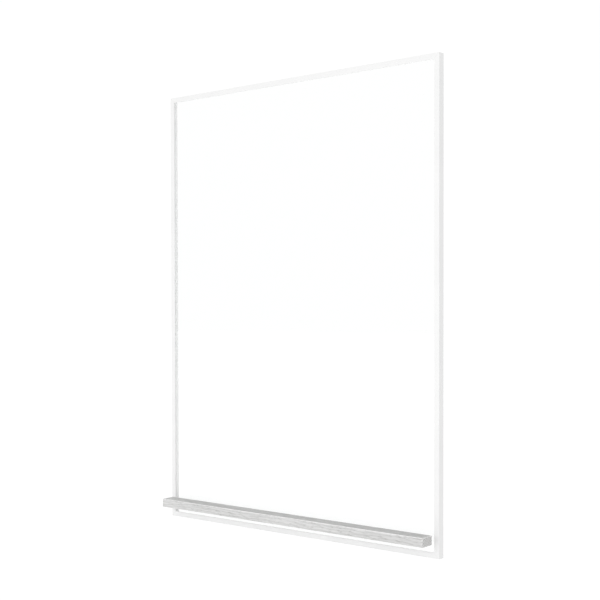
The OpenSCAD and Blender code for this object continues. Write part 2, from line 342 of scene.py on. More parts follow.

# %% [markdown]
# ### Arris
#
# An arris is the sharp edge where two faces meet. Hands, cloths and sanding blocks reach it
# first, so paint thins there and timber pales; on the timber's upper arrises the pale band is
# also a painted highlight. On a box-shaped thing it is easy to find: measure how far a point
# lies in from each pair of faces. On any face one of the three distances is nothing, and the
# second smallest is the distance to the nearest edge. A little noise keeps the band from
# looking ruled.

# %% Build the arris group
WANDERS_PER_METRE = 130.0

arris, arris_in, arris_out = new_group(
    "arris",
    {"Vector": VECTOR, "Middle": VECTOR, "Half": VECTOR, "Width": FLOAT, "Unevenness": FLOAT},
    "Mask",
)
inset_x, inset_y, inset_z = insets(arris, arris_in["Vector"], arris_in["Middle"], arris_in["Half"])
smaller_xy = math_node(arris, "MINIMUM", inset_x, inset_y)
larger_xy = math_node(arris, "MAXIMUM", inset_x, inset_y)
to_edge = math_node(arris, "MAXIMUM", smaller_xy, math_node(arris, "MINIMUM", larger_xy, inset_z))
arris_noise = noise(arris, arris_in["Vector"], WANDERS_PER_METRE, detail=3.0)
arris_wander = math_node(arris, "SUBTRACT", arris_noise.outputs["Fac"], 0.5)
arris_band = math_node(arris, "DIVIDE", to_edge, arris_in["Width"])
arris_band = math_node(arris, "MULTIPLY_ADD", arris_wander, arris_in["Unevenness"], arris_band)
# The mask is 1 on the edge and fades to 0 at one width from it
join(arris, spread(arris, arris_band, 0.0, 1.0, 1.0, 0.0, smooth=True), arris_out)
print("group", arris.name)

# %% [markdown]
# ### Tool rings
#
# A lathe leaves fine rings round the axis that a part was turned on. The small turned parts here
# all have their axis along Y. Each carries its own place as an attribute, measured from a point
# on its own axis, so that one group can draw the rings on every copy.

# %% Build the tool rings group
OWN_PLACE = "own_place"
CHATTER_PER_METRE = 900.0

tool_rings, rings_in, rings_out = new_group("tool_rings", {"Spacing": FLOAT, "Unevenness": FLOAT}, "Value")
own_place = place(tool_rings, "ShaderNodeAttribute", {"attribute_name": OWN_PLACE}).outputs["Vector"]
own_x, own_y, own_z = split(tool_rings, own_place)
own_xx = math_node(tool_rings, "POWER", own_x, 2.0)
own_zz = math_node(tool_rings, "POWER", own_z, 2.0)
own_radius = math_node(tool_rings, "SQRT", math_node(tool_rings, "ADD", own_xx, own_zz))
# Adding the height makes the rings carry on down the sides as turning marks
rings_travel = math_node(tool_rings, "ADD", own_radius, own_y)
rings_turns = math_node(tool_rings, "DIVIDE", rings_travel, rings_in["Spacing"])
chatter = noise(tool_rings, own_place, CHATTER_PER_METRE, detail=2.0).outputs["Fac"]
rings_turns = math_node(tool_rings, "MULTIPLY_ADD", chatter, rings_in["Unevenness"], rings_turns)
rings_wave = math_node(tool_rings, "SINE", rings_turns)
join(tool_rings, math_node(tool_rings, "MULTIPLY_ADD", rings_wave, 0.5, 0.5), rings_out)
print("group", tool_rings.name)

# %% Helpers for finishes


def new_finish(name):
    """A material with a Principled shader and the object's own coordinates."""
    material = bpy.data.materials.new(name)
    material.use_nodes = True
    tree = material.node_tree
    shader = tree.nodes["Principled BSDF"]
    return material, tree, shader, place(tree, "ShaderNodeTexCoord").outputs["Object"]


def use_group(tree, group, vector=None, **values):
    """Places a shared effect in a material, with its own values. Returns its output."""
    node = place(tree, "ShaderNodeGroup", {"node_tree": group}, **values)
    if vector is not None:
        join(tree, vector, node.inputs["Vector"])
    return node.outputs[0]


def two_tones(tree, share, low, high):
    """A colour that runs from low to high as share runs from 0 to 1."""
    blend = place(tree, "ShaderNodeMix", {"data_type": "RGBA"})
    # A Mix node keeps one set of sockets for each kind of value: 6 and 7 are its two colours
    join(tree, share, blend.inputs[0])
    for tone, socket in ((low, blend.inputs[6]), (high, blend.inputs[7])):
        feed(tree, (*tone, 1) if isinstance(tone, tuple) else tone, socket)
    return blend.outputs[2]


def emboss(tree, shader, height, depth):
    """Turns a height from 0 to 1 into relief of a real depth in metres."""
    bump = place(tree, "ShaderNodeBump", Strength=1.0, Distance=depth)
    join(tree, height, bump.inputs["Height"])
    join(tree, bump.outputs["Normal"], shader.inputs["Normal"])


print("finish helpers ready")

# %% [markdown]
# ## White powder coat
#
# The frame is extruded aluminium, sprayed with a charged white powder and baked. The melted
# powder flows into a satin skin with a faint orange-peel relief, and it draws back a little from
# the sharp edges, which end up smoother. Where two members meet at a mitre, the coat has a
# hairline. All of it is a matter of a few hundredths of a millimetre, so it belongs in the
# finish. The mitre is found by comparing how far a point is from the side of the guard with how
# far it is from the top or bottom.

# %% Mix the powder coat
COAT_LOW = (0.789, 0.790, 0.790)
COAT_HIGH = (0.813, 0.813, 0.812)
COAT_CLOUD = 60 * MM
COAT_SHINE_GRAIN = 12 * MM
ORANGE_PEEL_GRAIN = 1.6 * MM
ORANGE_PEEL_DEPTH = 0.012 * MM
MITRE_LINE = 0.12 * MM
MITRE_TONE = (0.42, 0.42, 0.42)
MITRE_DEPTH_IN_PEELS = 4.0
EDGE_DRAW_BACK = 1.4 * MM
EDGE_SMOOTHER = 0.1

cad_middle = (cad_box[0] + cad_box[1]) / 2
stile_low, stile_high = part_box("left_stile")
guard_middle = Vector((cad_middle.x, (stile_low.y + stile_high.y) / 2, cad_middle.z))
guard_half = Vector((cad_box[1].x, (stile_high.y - stile_low.y) / 2, cad_middle.z))


def mitre_line(tree, at):
    """1 on the hairline where two members meet, and 0 away from it."""
    side_in, _, end_in = insets(tree, at, guard_middle, guard_half)
    apart = math_node(tree, "ABSOLUTE", math_node(tree, "SUBTRACT", side_in, end_in))
    return spread(tree, apart, 0.0, MITRE_LINE, 1.0, 0.0, smooth=True)


def powder_coat():
    material, tree, shader, at = new_finish("white_powder_coat")
    cloud = use_group(tree, mottle, at, Grain=COAT_CLOUD, Least=0.0, Most=1.0)
    line = mitre_line(tree, at)
    tone = two_tones(tree, cloud, COAT_LOW, COAT_HIGH)
    join(tree, two_tones(tree, line, tone, MITRE_TONE), shader.inputs["Base Color"])
    edge = use_group(
        tree, arris, at, Middle=guard_middle, Half=guard_half, Width=EDGE_DRAW_BACK, Unevenness=0.6
    )
    shine = use_group(tree, mottle, at, Grain=COAT_SHINE_GRAIN, Least=0.40, Most=0.48)
    shine = math_node(tree, "MULTIPLY_ADD", edge, -EDGE_SMOOTHER, shine)
    join(tree, shine, shader.inputs["Roughness"])
    peel = use_group(tree, mottle, at, Grain=ORANGE_PEEL_GRAIN, Least=0.0, Most=1.0)
    peel = math_node(tree, "MULTIPLY_ADD", line, -MITRE_DEPTH_IN_PEELS, peel)
    emboss(tree, shader, peel, ORANGE_PEEL_DEPTH)
    return material


coat = powder_coat()
print("finish", coat.name, "mitres at", [round(c, 3) for c in guard_half])

# %% [markdown]
# ## Clear glass
#
# The pane is toughened float glass, optically flat and colourless but for a trace of green. In
# Cycles such a sheet is a Principled shader with full transmission. Glass blocks the straight
# shadow rays that lamps use, so for those rays alone a Transparent shader takes over: otherwise
# a clear sheet would throw a dark shadow. Its only marks are faint streaks from the cloth.

# %% Melt the glass
GLASS_LOW = (0.984, 0.990, 0.988)
GLASS_HIGH = (0.992, 0.996, 0.994)
GLASS_SHADOW = (0.97, 0.985, 0.98, 1)
# Cloths are wiped at a slant, so the streaks are turned about the pane's thickness
WIPE_SLANT = 38
WIPE_LENGTH = 300 * MM
WIPE_WIDTH = 20 * MM


def clear_glass():
    material, tree, shader, at = new_finish("clear_glass")
    shader.inputs["Transmission Weight"].default_value = 1.0
    shader.inputs["IOR"].default_value = 1.5
    slant = place(tree, "ShaderNodeMapping", Rotation=(0, math.radians(WIPE_SLANT), 0))
    join(tree, at, slant.inputs["Vector"])
    wiped = use_group(tree, streaks, slant.outputs["Vector"], Length=WIPE_LENGTH, Width=WIPE_WIDTH)
    join(tree, two_tones(tree, wiped, GLASS_LOW, GLASS_HIGH), shader.inputs["Base Color"])
    # The stronger a streak is, the more haze it leaves
    join(tree, spread(tree, wiped, 0.45, 0.8, 0.0, 0.02), shader.inputs["Roughness"])
    path = place(tree, "ShaderNodeLightPath")
    clear = place(tree, "ShaderNodeBsdfTransparent", Color=GLASS_SHADOW)
    either = place(tree, "ShaderNodeMixShader")
    wire(tree, (
        (path, "Is Shadow Ray", either, "Fac"), (shader, "BSDF", either, 1), (clear, "BSDF", either, 2),
        (either, "Shader", tree.nodes["Material Output"], "Surface"),
    ))
    return material


glass = clear_glass()
print("finish", glass.name)

# %% [markdown]
# ## Grey-washed timber
#
# The ledge is a solid bar, sawn from a plank, washed grey and lacquered matt. Timber is a solid
# texture: the trunk's rings are nested tubes along the bar, and every face is a cut through
# them. So the pattern is worked out in three dimensions and the faces, edges and ends agree at
# the corners. The rings come from a Wave texture round a line set well outside the bar, bent by
# a slow noise so that they wander. A power of the wave keeps the dark late wood of each ring
# narrow.

# %% Grow the rings
RING_SPACING = 5.5 * MM
RING_WANDER = 16 * MM
# How fast the rings wander: along the bar slowly, and across it faster
WANDER_RATE = (4.0, 14.0, 14.0)
PITH_FROM_BAR = Vector((0, 0.075, -0.105))
LATE_WOOD_POWER = 1.6
# The Wave texture draws this many metres between rings at a scale of 1
WAVE_STEP = math.tau / 20

ledge_low, ledge_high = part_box("ledge")
ledge_middle = (ledge_low + ledge_high) / 2
ledge_half = (ledge_high - ledge_low) / 2


def growth_rings(tree, at):
    """0 in the pale early wood of each ring, rising to 1 in its dark late wood."""
    slow = vector_node(tree, "MULTIPLY", at, WANDER_RATE)
    wander = noise(tree, slow, 1.0, detail=2.0).outputs["Color"]
    # A noise lies round 0.5, so without that half the rings wander to both sides
    wander = vector_node(tree, "SUBTRACT", wander, (0.5, 0.5, 0.5))
    bent = vector_node(tree, "MULTIPLY_ADD", wander, (0, 2 * RING_WANDER, 2 * RING_WANDER), at)
    to_pith = place(tree, "ShaderNodeMapping", Location=-(ledge_middle + PITH_FROM_BAR))
    join(tree, bent, to_pith.inputs["Vector"])
    rings = place(
        tree, "ShaderNodeTexWave", {"wave_type": "RINGS", "rings_direction": "X", "wave_profile": "SAW"},
        Scale=WAVE_STEP / RING_SPACING, Distortion=2.2, Detail=3.0, Detail_Scale=0.6,
    )
    join(tree, to_pith.outputs["Vector"], rings.inputs["Vector"])
    return math_node(tree, "POWER", rings.outputs["Fac"], LATE_WOOD_POWER)


print("ledge of", [round(c, 4) for c in 2 * ledge_half], "m, rings every", RING_SPACING, "m")

# %% [markdown]
# ### Fibres, pores and flecks
#
# Over the rings lie the fibres. They are the same streaks at three sizes: a slow drift from pale
# to dark along the whole bar, broad soft bands, and fine lines. Two more are cut off sharply, so
# that only their peaks are left: the pores, which are short thin dashes that also dent the
# surface, and the flecks, which are wider dark spots.

# %% Lay the fibres over the rings
# The length and width of one streak of each kind
FIBRES = {
    "drift": (300 * MM, 30 * MM),
    "broad": (45 * MM, 3.8 * MM),
    "fine": (30 * MM, 0.7 * MM),
    "pores": (9 * MM, 0.4 * MM),
    "flecks": (16 * MM, 3 * MM),
}
# A pore or a fleck begins at the first of these values of its noise and is full at the second
PORE_PEAKS = (0.60, 0.68)
FLECK_PEAKS = (0.53, 0.66)


def fibre_patterns(tree, at):
    """Every kind of fibre as an output from 0 to 1, by name."""
    patterns = {}
    for name, (length, width) in FIBRES.items():
        patterns[name] = use_group(tree, streaks, at, Length=length, Width=width)
    patterns["pores"] = spread(tree, patterns["pores"], *PORE_PEAKS)
    patterns["flecks"] = spread(tree, patterns["flecks"], *FLECK_PEAKS)
    return patterns


print("kinds of fibre:", list(FIBRES))

# %% [markdown]
# ### Wash, wear and a painted highlight
#
# The wash is thinned on the arrises, which show paler. On the upper arrises the pale band is
# much stronger than on the lower ones, because there it is also a painted highlight. The bar's
# two ends are cut across the fibres, and there the rings soak up far more of the wash than the
# wood between them. Each pattern then moves one tone up or down, by how far it is from its usual
# value, and the tone picks the colour.

# %% Wash the timber
TIMBER_DARK = (0.37, 0.368, 0.362)
TIMBER_PALE = (0.83, 0.83, 0.826)
USUAL_TONE = 0.40
# The pale band on the ledge's arrises: thinned wash, and on the upper arrises a painted highlight
PALE_ARRIS_WIDTH = 2.4 * MM
LOWER_ARRIS_SHARE = 0.25
FULL_BAND_BELOW_TOP = 3 * MM
# How far in from the bar's ends their own look begins, and how far in it is full
END_BEGINS = 1.2 * MM
END_FULL = 0.4 * MM
GRAIN_DEPTH = 0.12 * MM


def worn_and_highlit_arrises(tree, at, height):
    """1 on the pale arrises: thinned wash, and on the upper arrises a painted highlight as well."""
    pale_band = use_group(
        tree, arris, at, Middle=ledge_middle, Half=ledge_half, Width=PALE_ARRIS_WIDTH, Unevenness=1.2
    )
    # Painted highlight: the band is full near the top and falls to a share on the lower arrises
    upper_share = spread(tree, height, ledge_middle.z, ledge_high.z - FULL_BAND_BELOW_TOP, LOWER_ARRIS_SHARE)
    return math_node(tree, "MULTIPLY", pale_band, upper_share)


def washed_tone(tree, at, rings, fibres):
    """The tone of the timber, from 0 in the dark to 1 in the pale."""
    along, _, height = split(tree, at)
    along = math_node(tree, "ABSOLUTE", along)
    ends = spread(tree, along, ledge_half.x - END_BEGINS, ledge_half.x - END_FULL)
    # Each pattern with its usual value and its weight
    weights = (
        (fibres["drift"], 0.5, 0.4), (fibres["broad"], 0.5, 0.5), (fibres["fine"], 0.5, 0.4),
        (rings, 0.4, -0.22), (fibres["pores"], 0.1, -0.25), (fibres["flecks"], 0.25, -0.27),
        (ends, 0.0, 0.12), (math_node(tree, "MULTIPLY", ends, rings), 0.0, -0.62),
        # Paler arrises: thinned wash, with a painted highlight on the upper ones
        (worn_and_highlit_arrises(tree, at, height), 0.0, 0.66),
    )
    tone = USUAL_TONE
    for pattern, usual, weight in weights:
        shift = math_node(tree, "SUBTRACT", pattern, usual)
        tone = math_node(tree, "MULTIPLY_ADD", shift, weight, tone)
    return tone


def grey_timber():
    material, tree, shader, at = new_finish("grey_washed_timber")
    rings = growth_rings(tree, at)
    fibres = fibre_patterns(tree, at)
    tone = washed_tone(tree, at, rings, fibres)
    join(tree, two_tones(tree, tone, TIMBER_DARK, TIMBER_PALE), shader.inputs["Base Color"])
    join(tree, spread(tree, fibres["fine"], 0.0, 1.0, 0.52, 0.72), shader.inputs["Roughness"])
    shader.inputs["Specular IOR Level"].default_value = 0.35
    # The pores are dents, and the dark late wood lies a trace lower than the rest
    grain = math_node(tree, "MULTIPLY_ADD", fibres["pores"], -0.6, fibres["fine"])
    grain = math_node(tree, "MULTIPLY_ADD", rings, -0.2, grain)
    emboss(tree, shader, grain, GRAIN_DEPTH)
    return material


timber = grey_timber()
print("finish", timber.name)

# %% [markdown]
# ## The small parts' skins
#
# The seals, blocks, keys, bushes, washers and screws each have a skin that is one soft mottle
# for the colour, another for the shine and a third for the relief. One function mixes them, and
# each skin gets its own tones, grain and depth. Some also carry the marks of a tool, which are
# laid over the relief and the shine: the die lines of an extruded seal, or the rings of a
# turned part.

# %% Mix the skins without tool marks


def skin(name, low, high, grain, shine, depth, metallic=0.0, marks=None):
    """A finish with mottled tone, shine and relief, and with tool marks where it has them."""
    material, tree, shader, at = new_finish(name)
    # The clouds of the colour are larger than the grain of the relief, and the shine is between
    cloud = use_group(tree, mottle, at, Grain=5 * grain, Least=0.0, Most=1.0)
    gloss = use_group(tree, mottle, at, Grain=2 * grain, Least=shine[0], Most=shine[1])
    relief = use_group(tree, mottle, at, Grain=grain, Least=0.0, Most=1.0)
    if marks:
        pattern, in_relief, in_gloss = marks(tree, at)
        relief = math_node(tree, "MULTIPLY_ADD", pattern, in_relief, relief)
        gloss = math_node(tree, "MULTIPLY_ADD", pattern, in_gloss, gloss)
    join(tree, two_tones(tree, cloud, low, high), shader.inputs["Base Color"])
    join(tree, gloss, shader.inputs["Roughness"])
    shader.inputs["Metallic"].default_value = metallic
    emboss(tree, shader, relief, depth)
    return material


block_plastic = skin(
    "moulded_block", (0.10, 0.103, 0.108), (0.13, 0.133, 0.138),
    grain=0.5 * MM, shine=(0.5, 0.62), depth=0.02 * MM,
)
cast_alloy = skin(
    "cast_alloy", (0.60, 0.61, 0.62), (0.74, 0.745, 0.75),
    grain=0.6 * MM, shine=(0.38, 0.55), depth=0.05 * MM, metallic=1.0,
)
pale_rubber = skin(
    "pale_rubber", (0.74, 0.74, 0.72), (0.80, 0.80, 0.785),
    grain=0.3 * MM, shine=(0.5, 0.66), depth=0.015 * MM,
)
nylon = skin(
    "natural_nylon", (0.76, 0.73, 0.65), (0.83, 0.80, 0.72),
    grain=0.4 * MM, shine=(0.35, 0.48), depth=0.01 * MM,
)
# Nylon is milky: light goes about a millimetre into it
nylon_shader = nylon.node_tree.nodes["Principled BSDF"]
nylon_shader.inputs["Subsurface Weight"].default_value = 0.25
nylon_shader.inputs["Subsurface Scale"].default_value = 1.0 * MM
print("plain skins:", [made.name for made in (block_plastic, cast_alloy, pale_rubber, nylon)])

# %% Mix the extruded seal


def die_lines(tree, at):
    """Lines along the seal, and their weights in its relief and in its shine."""
    return use_group(tree, streaks, at, Length=250 * MM, Width=0.5 * MM), 1.5, 0.0


seal = skin(
    "extruded_seal", (0.92, 0.92, 0.915), (0.95, 0.95, 0.945),
    grain=0.4 * MM, shine=(0.55, 0.7), depth=0.015 * MM, marks=die_lines,
)
print("finish", seal.name)

# %% Mix the turned metals


def turned_metal(name, low, high, shine, spacing):
    """A metal with rings left by the lathe, in its relief and its shine."""
    def lathe_rings(tree, at):
        return use_group(tree, tool_rings, Spacing=spacing / math.tau, Unevenness=3.0), 1.2, 0.08
    return skin(name, low, high, 0.25 * MM, shine, 0.006 * MM, metallic=1.0, marks=lathe_rings)


turned_alloy = turned_metal(
    "turned_alloy", (0.70, 0.705, 0.71), (0.80, 0.805, 0.81), shine=(0.24, 0.34), spacing=0.14 * MM
)
stainless = turned_metal(
    "satin_stainless", (0.56, 0.555, 0.545), (0.66, 0.655, 0.645), shine=(0.22, 0.32), spacing=0.18 * MM
)
grub_steel = turned_metal(
    "dark_grub_steel", (0.16, 0.16, 0.165), (0.24, 0.24, 0.245), shine=(0.34, 0.46), spacing=0.15 * MM
)
brass = turned_metal(
    "satin_brass", (0.62, 0.44, 0.17), (0.76, 0.57, 0.26), shine=(0.24, 0.36), spacing=0.15 * MM
)
print("finishes made:", len(bpy.data.materials))

# %% [markdown]
# ## Dress the exact parts
#
# The frame, ledge, seals, blocks, keys and bushes have their true shapes already. Each
# keeps its mesh and takes its finish in its material slots. Members that are alike are named
# by a rule, so that a change to one finish reaches them all.

# %% Give each exact part its finish
SIDES = ("top", "bottom", "left", "right")
CORNERS = ("top_left", "top_right", "bottom_left", "bottom_right")

dress = {"ledge": timber, "glass_bushes": nylon}
dress.update({name: coat for name in ("top_rail", "bottom_rail", "left_stile", "right_stile")})
dress.update({"gasket_" + side: seal for side in SIDES})
dress.update({name: block_plastic for name in ("setting_blocks", "side_blocks", "top_blocks")})
dress.update({"corner_key_" + corner: cast_alloy for corner in CORNERS})
dress.update({"fixing_block_" + corner: cast_alloy for corner in CORNERS})

for name, finish in dress.items():
    for material_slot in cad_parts[name].material_slots:
        material_slot.material = finish
print("dressed", len(dress), "exact parts")

# %% [markdown]
# ## Find the places of the small parts
#
# Identical small parts share one node, such as the four screws of the ledge. Their places are
# read from the exact model and not typed in, so that they are always right. A copy of the mesh
# is merged, and then each connected lump is one part. All of them lie along Y, so the middle of
# a lump's box gives its axis, and the box's two faces give its ends.

# %% Find every separate lump of a node
SAME_POINT = 0.002 * MM


def lumps(node):
    """The lowest and highest corners of each separate solid in a node."""
    shape = bmesh.new()
    shape.from_mesh(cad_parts[node].data)
    bmesh.ops.remove_doubles(shape, verts=shape.verts, dist=SAME_POINT)
    waiting = set(shape.verts)
    found = []
    while waiting:
        reached = [waiting.pop()]
        lump = []
        while reached:
            corner = reached.pop()
            lump.append(corner.co.copy())
            for edge in corner.link_edges:
                other = edge.other_vert(corner)
                if other in waiting:
                    waiting.remove(other)
                    reached.append(other)
        low = Vector([min(point[axis] for point in lump) for axis in range(3)])
        high = Vector([max(point[axis] for point in lump) for axis in range(3)])
        found.append((low, high))
    shape.free()
    return sorted(found, key=lambda box: tuple(box[0]))


SMALL_PARTS = (
    "ledge_spacers", "front_washers", "rear_washers", "cover_washers",
    "ledge_inserts", "ledge_screws", "corner_screws", "block_screws",
)
small_boxes = {node: lumps(node) for node in SMALL_PARTS}
# The heads of the ledge's screws bear on the rear faces of the steel washers
screw_bearing = small_boxes["cover_washers"][0][1].y
print("small parts:", {node: len(boxes) for node, boxes in small_boxes.items()})

# %% [markdown]
# ## Cut and polish the pane
#
# Toughened glass can't be cut after its heat treatment. So its four holes are drilled first, and
# every sharp edge, the holes' edges too, is ground to a small flat arris. A filled curve makes
# this shape directly: one rectangle and one circle for each screw, thickened, with a bevel of
# one step. The faces stand back from the seals by a hair, because where a face of glass and a
# face of rubber share one plane, a ray of light can't tell which of them it meets first.

# %% Draw the outlines of the pane and its holes
ARRIS_GROUND = 0.8 * MM
HAIR = 0.02 * MM
HOLE_CLEARANCE = 0.2 * MM
HOLE_STEPS = 64

pane_low, pane_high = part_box("glass_pane")
bush_low, bush_high = lumps("glass_bushes")[0]
hole_radius = (bush_high.x - bush_low.x) / 2 + HOLE_CLEARANCE
screw_axes = [(low + high) / 2 for low, high in small_boxes["ledge_screws"]]


def add_outline(curve, points):
    """A closed straight-sided spline through (x, z) points."""
    spline = curve.splines.new("POLY")
    spline.points.add(len(points) - 1)
    for point, (x, z) in zip(spline.points, points):
        point.co = (x, z, 0, 1)
    spline.use_cyclic_u = True


def circle_points(middle, radius):
    angles = [math.tau * step / HOLE_STEPS for step in range(HOLE_STEPS)]
    return [(middle.x + radius * math.cos(a), middle.z + radius * math.sin(a)) for a in angles]


def pane_outline():
    """A curve that thickens into the pane, lying flat. The bevel grows outwards from it."""
    curve = bpy.data.curves.new("pane_outline", "CURVE")
    curve.dimensions = "2D"
    curve.fill_mode = "BOTH"
    inset = ARRIS_GROUND + HAIR
    left, right = pane_low.x + inset, pane_high.x - inset
    bottom, top = pane_low.z + inset, pane_high.z - inset
    add_outline(curve, [(left, bottom), (right, bottom), (right, top), (left, top)])
    for axis in screw_axes:
        add_outline(curve, circle_points(axis, hole_radius + ARRIS_GROUND))
    curve.extrude = (pane_high.y - pane_low.y) / 2 - inset
    curve.bevel_depth = ARRIS_GROUND
    curve.bevel_resolution = 0
    return curve


print("holes of", round(2 * hole_radius / MM, 2), "mm at", len(screw_axes), "screws")

# %% Cut the pane


def plain_mesh(source):
    """The mesh that an object's curve or modifier works out to."""
    depsgraph = bpy.context.evaluated_depsgraph_get()
    return bpy.data.meshes.new_from_object(source.evaluated_get(depsgraph), depsgraph=depsgraph)


def polished_pane():
    outline = bpy.data.objects.new("pane_outline", pane_outline())
    scene.collection.objects.link(outline)
    mesh = plain_mesh(outline)
    bpy.data.objects.remove(outline)
    # The outline lies flat, so it is stood up and moved to the middle of the glass
    mesh.transform(Matrix.Translation((0, (pane_low.y + pane_high.y) / 2, 0)) @ turned_by(90, "X"))
    shape = bmesh.new()
    shape.from_mesh(mesh)
    bmesh.ops.remove_doubles(shape, verts=shape.verts, dist=0.001 * MM)
    bmesh.ops.recalc_face_normals(shape, faces=shape.faces)
    shape.to_mesh(mesh)
    open_edges = sum(not edge.is_manifold for edge in shape.edges)
    shape.free()
    mesh.materials.clear()
    mesh.materials.append(glass)
    pane = bpy.data.objects.new("polished_pane", mesh)
    scene.collection.objects.link(pane)
    print("pane:", len(mesh.polygons), "faces,", open_edges, "open edges")
    return pane


pane = polished_pane()
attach(pane, "root")
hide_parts("glass_pane")

# %% [markdown]
# ## Turn the small parts
#
# A turned part is a stack of rings along its axis. Each ring says how far along it lies and how
# far it reaches, and the reach may change with the angle: a socket's rings are hexagons, and a
# thread's rings lean in and out as the helix passes. One function joins such a stack into a
# closed mesh. A solid part ends in a point at each end, and a part with a bore joins its last
# ring to its first.

# %% Say how far a ring reaches
# The shares of half a turn that stay flat at a thread's root and at its crest
ROOT_FLAT = 0.3
CREST_FLAT = 0.3


def round_reach(radius):
    return lambda angle: radius


def hexagon_reach(across_flats):
    def reach(angle):
        from_flat = (angle + math.pi / 6) % (math.pi / 3) - math.pi / 6
        return across_flats / 2 / math.cos(from_flat)
    return reach


def thread_reach(along, pitch, crest, root):
    def reach(angle):
        turn = (along / pitch - angle / math.tau) % 1.0
        rise = 1 - abs(2 * turn - 1)
        height = (rise - ROOT_FLAT) / (1 - ROOT_FLAT - CREST_FLAT)
        return root + (crest - root) * min(max(height, 0), 1)
    return reach


def round_ring(along, radius):
    """A round ring of a stack, from millimetres."""
    return along * MM, round_reach(radius * MM)


print("rings can be round, six-sided or threaded")

# %% Join rings into a closed mesh
SHARP_ANGLE = 32


def turned_mesh(name, rings, segments, bored=False):
    """A closed mesh about Y from (along, reach) rings, in metres. Its skin faces outwards."""
    shape = bmesh.new()
    angles = [math.tau * step / segments for step in range(segments)]
    loops = []
    for along, reach in rings:
        loops.append([
            shape.verts.new((reach(a) * math.cos(a), along, reach(a) * math.sin(a))) for a in angles
        ])
    pairs = list(zip(loops, loops[1:]))
    if bored:
        pairs.append((loops[-1], loops[0]))
    for first, second in pairs:
        for step in range(segments):
            following = (step + 1) % segments
            shape.faces.new((first[step], first[following], second[following], second[step]))
    if not bored:
        for loop, (along, _) in ((loops[0], rings[0]), (loops[-1], rings[-1])):
            tip = shape.verts.new((0, along, 0))
            for step in range(segments):
                shape.faces.new((loop[step], loop[(step + 1) % segments], tip))
    bmesh.ops.recalc_face_normals(shape, faces=shape.faces)
    mesh = bpy.data.meshes.new(name)
    shape.to_mesh(mesh)
    shape.free()
    mesh.shade_smooth()
    mesh.set_sharp_from_angle(angle=math.radians(SHARP_ANGLE))
    return bpy.data.objects.new(name, mesh)


def eased(corners, ease, closed=False):
    """Rings along a profile of (along, radius) corners, in millimetres, with each corner rounded."""
    points = [Vector(corner) for corner in corners]
    rounded = []
    for at, corner in enumerate(points):
        if not closed and at in (0, len(points) - 1):
            rounded.append(corner)
            continue
        before, after = points[at - 1] - corner, points[(at + 1) % len(points)] - corner
        # An ease takes less than half of each side, so that two eases never meet
        start = corner + before.normalized() * min(ease, before.length / 2.1)
        end = corner + after.normalized() * min(ease, after.length / 2.1)
        for share in (0, 0.25, 0.5, 0.75, 1):
            rounded.append(start.lerp(corner, share).lerp(corner.lerp(end, share), share))
    return [round_ring(point.x, point.y) for point in rounded]


print("ready to turn")

# %% [markdown]
# ### Washers and spacers
#
# These are plain rings, but real ones are never perfectly square. The steel washers are stamped
# and tumbled, so their corners are eased. The soft washers are squeezed between metal and glass,
# so their rims swell and their faces are a little smaller. The spacers are turned from bar, with
# a bevel at both ends. All the sizes come from the boxes that were measured above.

# %% Turn the washers and spacers
SCREW_D = 6.0
BORE = SCREW_D / 2 + 0.2
SEGMENTS = 72


def size_mm(node):
    """The radius and length in millimetres of the small parts in a node."""
    low, high = small_boxes[node][0]
    return (high.x - low.x) / 2 / MM, (high.y - low.y) / MM


def bored_blank(node, outline, ease):
    return turned_mesh(node + "_blank", eased(outline, ease, True), SEGMENTS, True)


def soft_washer(node, tucked=0.35, flatter=0.08, ease=0.25):
    radius, length = size_mm(node)
    face, swell = radius - tucked, radius - flatter
    outline = [
        (0, BORE), (0, face), (length * 0.2, swell), (length * 0.5, radius), (length * 0.8, swell),
        (length, face), (length, BORE),
    ]
    return bored_blank(node, outline, ease)


def steel_washer(node, ease=0.22):
    radius, length = size_mm(node)
    return bored_blank(node, [(0, BORE), (0, radius), (length, radius), (length, BORE)], ease)


def spacer(node, bevel=0.6, ease=0.12):
    radius, length = size_mm(node)
    outline = [
        (0, BORE), (0, radius - bevel), (bevel, radius), (length - bevel, radius),
        (length, radius - bevel), (length, BORE),
    ]
    return bored_blank(node, outline, ease)


blanks = {node: soft_washer(node) for node in ("front_washers", "rear_washers")}
blanks["cover_washers"] = steel_washer("cover_washers")
blanks["ledge_spacers"] = spacer("ledge_spacers")
print("turned:", {node: len(blank.data.polygons) for node, blank in blanks.items()})

# %% [markdown]
# ### Screws and inserts
#
# The ledge hangs on four M6 button-head screws. They pass through the pane and grip brass
# inserts in the timber. M4 grub screws lock the corner keys and the fixing blocks. The
# thread on each is a true helix: every ring reaches in and out as the angle goes round, a step
# further on at each ring, and near an end the crests are cut down to a cone, as a chamfer does.

# %% Shape threads and sockets
RINGS_PER_TURN = 8
# A crest stays this far inside the size of its exact part, in millimetres
CREST_PLAY = 0.02
# A flat tip of this radius passes for a point
TIP = 0.05


def cone_cut(reach, limit):
    return lambda angle: min(reach(angle), limit)


def threaded(start, end, pitch, crest, root, chamfer_start=False, chamfer_end=False):
    """Rings of a thread from start to end, in millimetres, with its crests cut down at the ends."""
    count = round((end - start) / pitch * RINGS_PER_TURN)
    rings = []
    for step in range(count + 1):
        along = start + (end - start) * step / count
        from_start = root + along - start if chamfer_start else crest
        from_end = root + end - along if chamfer_end else crest
        thread = thread_reach(along * MM, pitch * MM, crest * MM, root * MM)
        rings.append((along * MM, cone_cut(thread, min(from_start, from_end) * MM)))
    return rings


